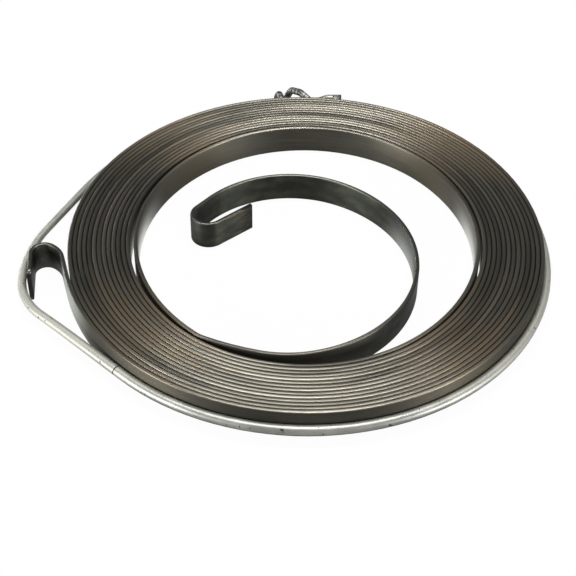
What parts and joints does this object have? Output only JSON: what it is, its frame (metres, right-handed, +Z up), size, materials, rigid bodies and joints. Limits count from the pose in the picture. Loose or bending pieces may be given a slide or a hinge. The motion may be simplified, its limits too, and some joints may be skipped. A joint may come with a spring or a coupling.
{
  "type": "recoil starter spring",
  "caption": "Flat spiral spring of steel strip wound into a tight coil, with a hooked tail inside, a hook outside and a tie wire round it.",
  "frame": {"origin": "middle of the coil, in the plane that the strip's lower edges rest on", "axes": "+Z up along the coil's axis, +X to the right with the outer hook on the -X side, +Y away from the front to the knot in the wire"},
  "size_m": [0.0841, 0.0824, 0.0065],
  "materials": {
    "spring_steel": "dark rolled spring steel, lightly oiled, pale and a little golden on the upper edges",
    "zinc_wire": "pale zinc coated soft steel wire, scuffed, with dark specks"
  },
  "bodies": {
    "root": {"spring_strip": "spring_steel", "binding_wire": "zinc_wire"}
  },
  "joints": []
}
